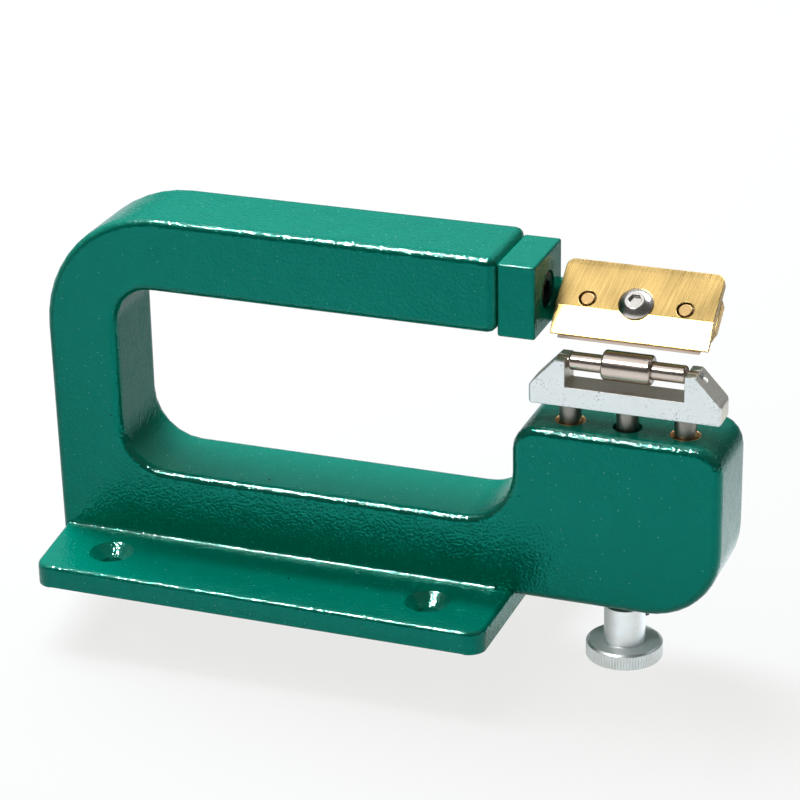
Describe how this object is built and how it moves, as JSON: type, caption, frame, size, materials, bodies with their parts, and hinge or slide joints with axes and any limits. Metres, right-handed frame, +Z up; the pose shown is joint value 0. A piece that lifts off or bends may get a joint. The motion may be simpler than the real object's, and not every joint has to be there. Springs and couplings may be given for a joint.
{
  "type": "bench leather splitter",
  "caption": "Cast C-frame bench splitter for leather: a tilted blade in brass plates over a roller on a carriage that a knurled knob and screw raise and lower.",
  "frame": {"origin": "middle of the four bench holes, on the underside of the base flange", "axes": "+X along the frame from the column to the blade and roller, +Y to the back, +Z up off the bench"},
  "size_m": [0.21, 0.09, 0.1238],
  "materials": {
    "green_enamel": "gloss enamel with a fine orange-peel texture",
    "head_enamel": "smooth gloss enamel on machined steel",
    "turned_brass": "turned",
    "seat_brass": "sawn and milled",
    "brushed_brass": "brushed along a slant",
    "ground_steel": "ground",
    "polished_steel": "polished",
    "black_oxide_steel": "black oxide",
    "cast_alloy": "fine blasted",
    "drawn_steel": "drawn and ground",
    "nickel_plate": "satin turned",
    "zinc_plate": "zinc plated"
  },
  "bodies": {
    "frame": {"frame_casting": "green_enamel", "guide_bush_left": "turned_brass", "guide_bush_right": "turned_brass", "lift_nut": "turned_brass", "head_clamp_screw": "black_oxide_steel", "head_washer": "black_oxide_steel"},
    "head": {"head_block": "head_enamel", "blade_seat": "seat_brass", "blade": "ground_steel", "clamp_plate": "brushed_brass", "locating_pin_left": "turned_brass", "locating_pin_right": "turned_brass", "blade_clamp_screw": "polished_steel", "seat_screw_left": "black_oxide_steel", "seat_screw_right": "black_oxide_steel"},
    "carriage": {"roller_bracket": "cast_alloy", "guide_pin_left": "drawn_steel", "guide_pin_right": "drawn_steel", "pin_screw_left": "black_oxide_steel", "pin_screw_right": "black_oxide_steel", "screw_retainer": "black_oxide_steel"},
    "roller_set": {"roller": "nickel_plate", "roller_axle": "nickel_plate"},
    "spindle": {"lifting_screw": "drawn_steel", "knob": "zinc_plate", "knob_grub_screw": "black_oxide_steel"}
  },
  "joints": [
    {"name": "head_tilt", "type": "hinge", "parent": "frame", "child": "head", "pos_m": [0.0673, -0.0014, 0.0978], "axis": [1, 0, 0], "range_deg": [-3, 3]},
    {"name": "carriage_lift", "type": "slide", "parent": "frame", "child": "carriage", "axis": [0, 0, 1], "range_m": [-0.005, 0.002]},
    {"name": "knob_turn", "type": "hinge", "parent": "carriage", "child": "spindle", "pos_m": [0.104, -0.0062, 0], "axis": [0, 0, 1], "range_deg": [-1440, 576]},
    {"name": "roller_spin", "type": "hinge", "parent": "carriage", "child": "roller_set", "pos_m": [0.104, -0.0062, 0.07885], "axis": [1, 0, 0], "continuous": true}
  ],
  "couplings": [
    {"joint": "knob_turn", "follows": "carriage_lift", "rad_per_m": 5026.5}
  ]
}
